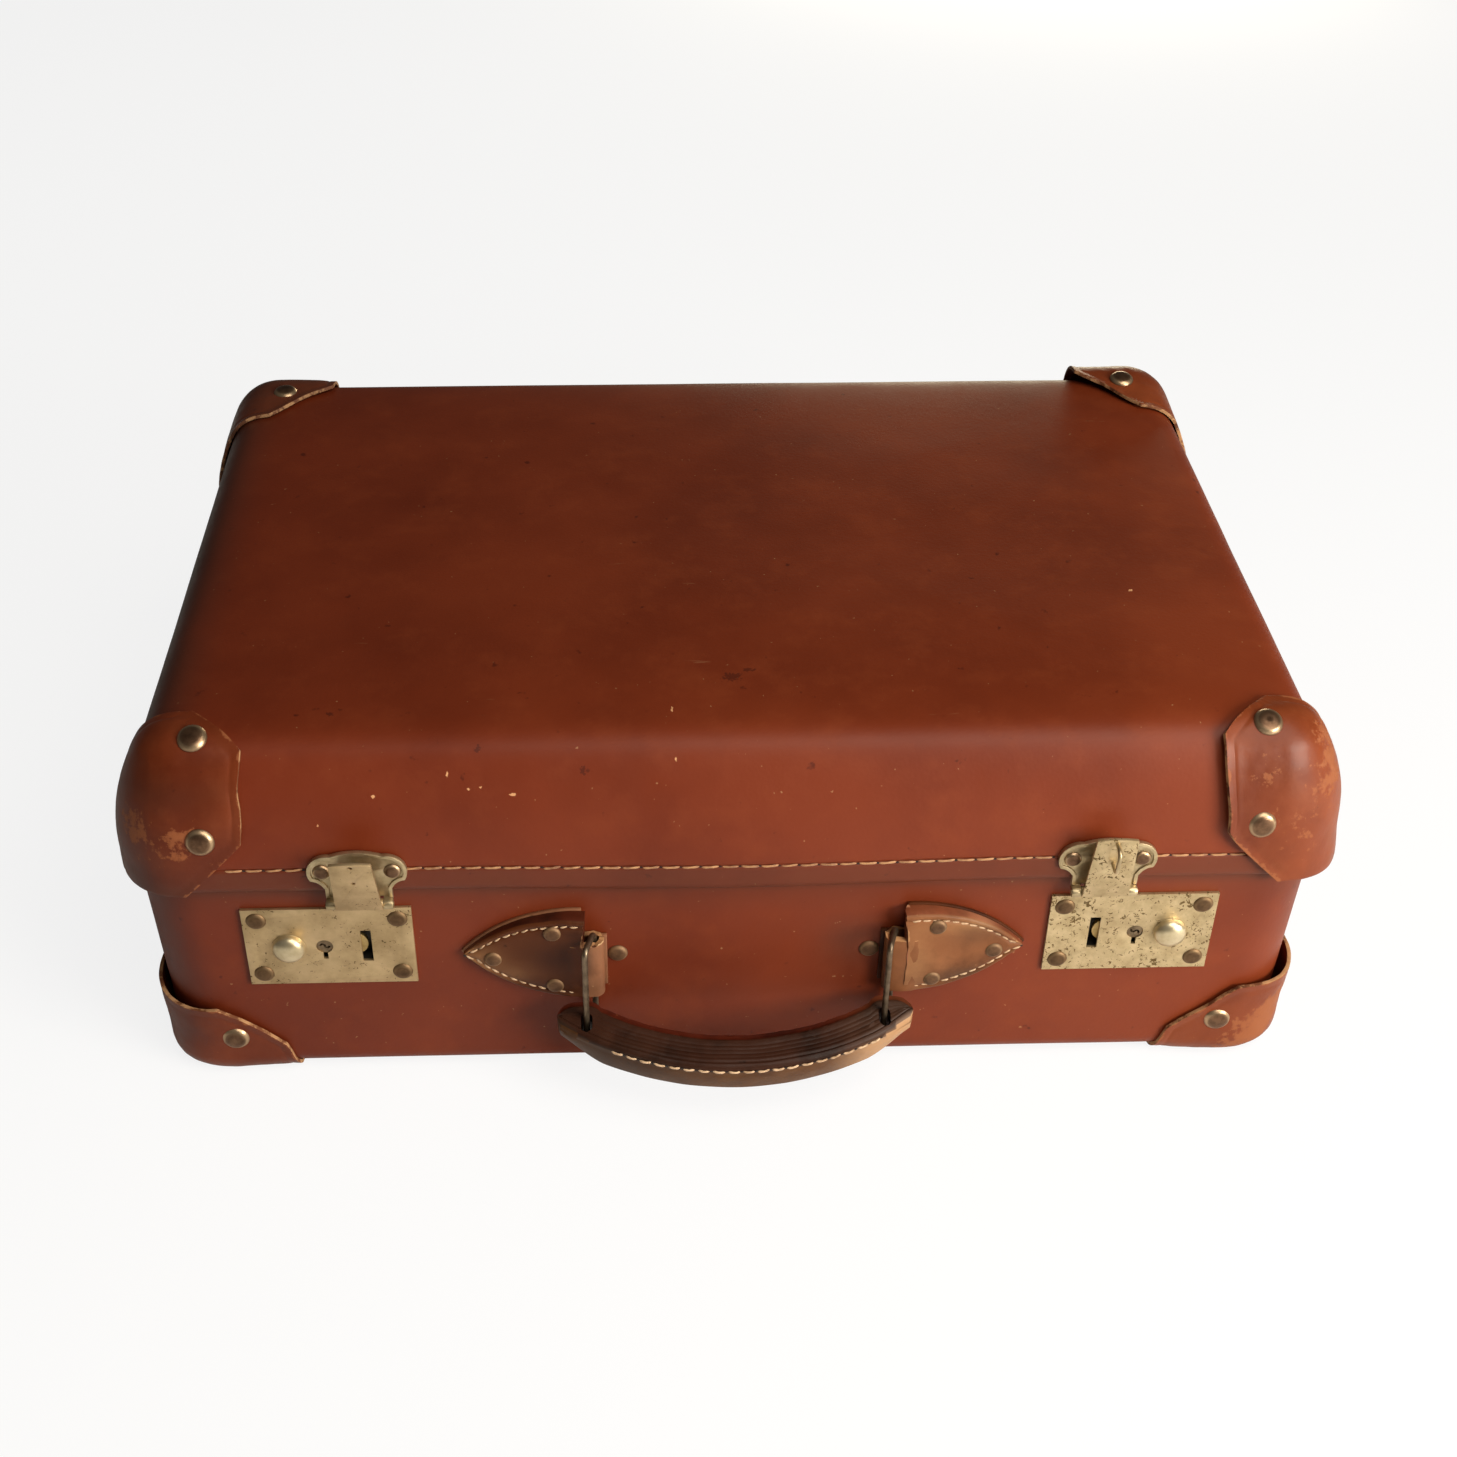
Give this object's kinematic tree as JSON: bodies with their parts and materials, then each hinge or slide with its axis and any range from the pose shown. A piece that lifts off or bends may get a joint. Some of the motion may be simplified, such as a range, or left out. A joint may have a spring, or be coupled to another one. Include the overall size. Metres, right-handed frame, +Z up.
{
  "type": "suitcase",
  "caption": "Small vintage hard leather suitcase, lid shut, both hasps open, riveted corner caps, spring locks and a drooping carrying handle on wire rings",
  "frame": {"origin": "on the floor, under the middle of the whole box: left to right over the lid's corner caps, front to back between the drooping handle and the hinge barrels", "axes": "+X to the right seen from the front, -Y out of the front where the locks and handle are, +Z up"},
  "size_m": [0.5044, 0.3858, 0.1753],
  "materials": {
    "case_leather": "worn mahogany-brown leather with a soft polish",
    "cap_leather": "worn brown leather with pale cut edges",
    "mount_leather": "domed brown leather, burnished",
    "handle_leather": "smooth brown leather, burnished dark by hands",
    "core_leather": "dark layered leather",
    "frame_wood": "bare pale softwood",
    "lining_paper": "faded cloth-grained paper",
    "lock_metal": "nickel plate worn through to brass, pitted",
    "rivet_metal": "tarnished brass",
    "ring_wire": "dull plated wire",
    "lock_steel": "plain folded sheet",
    "bolt_brass": "rubbed bright"
  },
  "bodies": {
    "base": {"base_shell": "case_leather", "base_frame": "frame_wood", "base_lining": "lining_paper", "base_cap_front_left": "cap_leather", "base_cap_front_right": "cap_leather", "base_cap_back_left": "cap_leather", "base_cap_back_right": "cap_leather", "base_cap_rivets": "rivet_metal", "lock_plate_left": "lock_metal", "lock_plate_right": "lock_metal", "lock_case_left": "lock_steel", "lock_case_right": "lock_steel", "lock_rivets": "rivet_metal", "handle_backing_left": "mount_leather", "handle_backing_right": "mount_leather", "handle_mount_left": "mount_leather", "handle_mount_right": "mount_leather", "handle_mount_rivets": "rivet_metal", "hinge_base_leaf_left": "lock_metal", "hinge_base_leaf_right": "lock_metal", "hinge_base_rivets": "rivet_metal", "hinge_pins": "rivet_metal"},
    "lid": {"lid_shell": "case_leather", "lid_rim_band": "case_leather", "lid_frame": "frame_wood", "lid_lining": "lining_paper", "lid_cap_front_left": "cap_leather", "lid_cap_front_right": "cap_leather", "lid_cap_back_left": "cap_leather", "lid_cap_back_right": "cap_leather", "lid_cap_rivets": "rivet_metal", "hasp_plate_left": "lock_metal", "hasp_plate_right": "lock_metal", "hasp_pins": "rivet_metal", "hasp_rivets": "rivet_metal", "hinge_lid_leaf_left": "lock_metal", "hinge_lid_leaf_right": "lock_metal", "hinge_lid_rivets": "rivet_metal"},
    "hasp_left": {"hasp_flap_left": "lock_metal"},
    "hasp_right": {"hasp_flap_right": "lock_metal", "hasp_staple": "lock_metal"},
    "button_left": {"button_left": "lock_metal", "bolt_left": "bolt_brass"},
    "button_right": {"button_right": "lock_metal", "bolt_right": "bolt_brass"},
    "key_left": {"key_disc_left": "lock_metal"},
    "key_right": {"key_disc_right": "lock_metal"},
    "ring_left": {"ring_left": "ring_wire"},
    "ring_right": {"ring_right": "ring_wire"},
    "handle": {"handle_strap": "handle_leather", "handle_core": "core_leather"}
  },
  "joints": [
    {"name": "lid_hinge", "type": "hinge", "parent": "base", "child": "lid", "pos_m": [0, 0.19032, 0.1054], "axis": [-1, 0, 0], "range_deg": [0, 180]},
    {"name": "hasp_left_hinge", "type": "hinge", "parent": "lid", "child": "hasp_left", "pos_m": [-0.1523, -0.15828, 0.1018], "axis": [1, 0, 0], "range_deg": [0, 162], "stiffness_Nm_per_rad": 0.003, "springref_deg": -28.65},
    {"name": "hasp_right_hinge", "type": "hinge", "parent": "lid", "child": "hasp_right", "pos_m": [0.1523, -0.15828, 0.1018], "axis": [1, 0, 0], "range_deg": [0, 171], "stiffness_Nm_per_rad": 0.003, "springref_deg": -28.65},
    {"name": "button_left_slide", "type": "slide", "parent": "base", "child": "button_left", "axis": [-1, 0, 0], "range_m": [0, 0.0045], "stiffness_N_per_m": 300, "springref_m": -0.003},
    {"name": "button_right_slide", "type": "slide", "parent": "base", "child": "button_right", "axis": [1, 0, 0], "range_m": [0, 0.0045], "stiffness_N_per_m": 300, "springref_m": -0.003},
    {"name": "key_left_turn", "type": "hinge", "parent": "base", "child": "key_left", "pos_m": [-0.1698, -0.15273, 0.075], "axis": [0, 1, 0], "range_deg": [0, 90]},
    {"name": "key_right_turn", "type": "hinge", "parent": "base", "child": "key_right", "pos_m": [0.1698, -0.15273, 0.075], "axis": [0, 1, 0], "range_deg": [0, 90]},
    {"name": "ring_left_pivot", "type": "hinge", "parent": "base", "child": "ring_left", "pos_m": [-0.0578, -0.15723, 0.0545], "axis": [0, 0, 1], "range_deg": [-3, 3]},
    {"name": "ring_right_pivot", "type": "hinge", "parent": "base", "child": "ring_right", "pos_m": [0.0678, -0.15723, 0.0545], "axis": [0, 0, 1], "range_deg": [-3, 3]},
    {"name": "handle_lift", "type": "hinge", "parent": "base", "child": "handle", "pos_m": [0.00131, -0.1697, 0.038], "axis": [-1, 0, 0], "range_deg": [0, 30]}
  ]
}
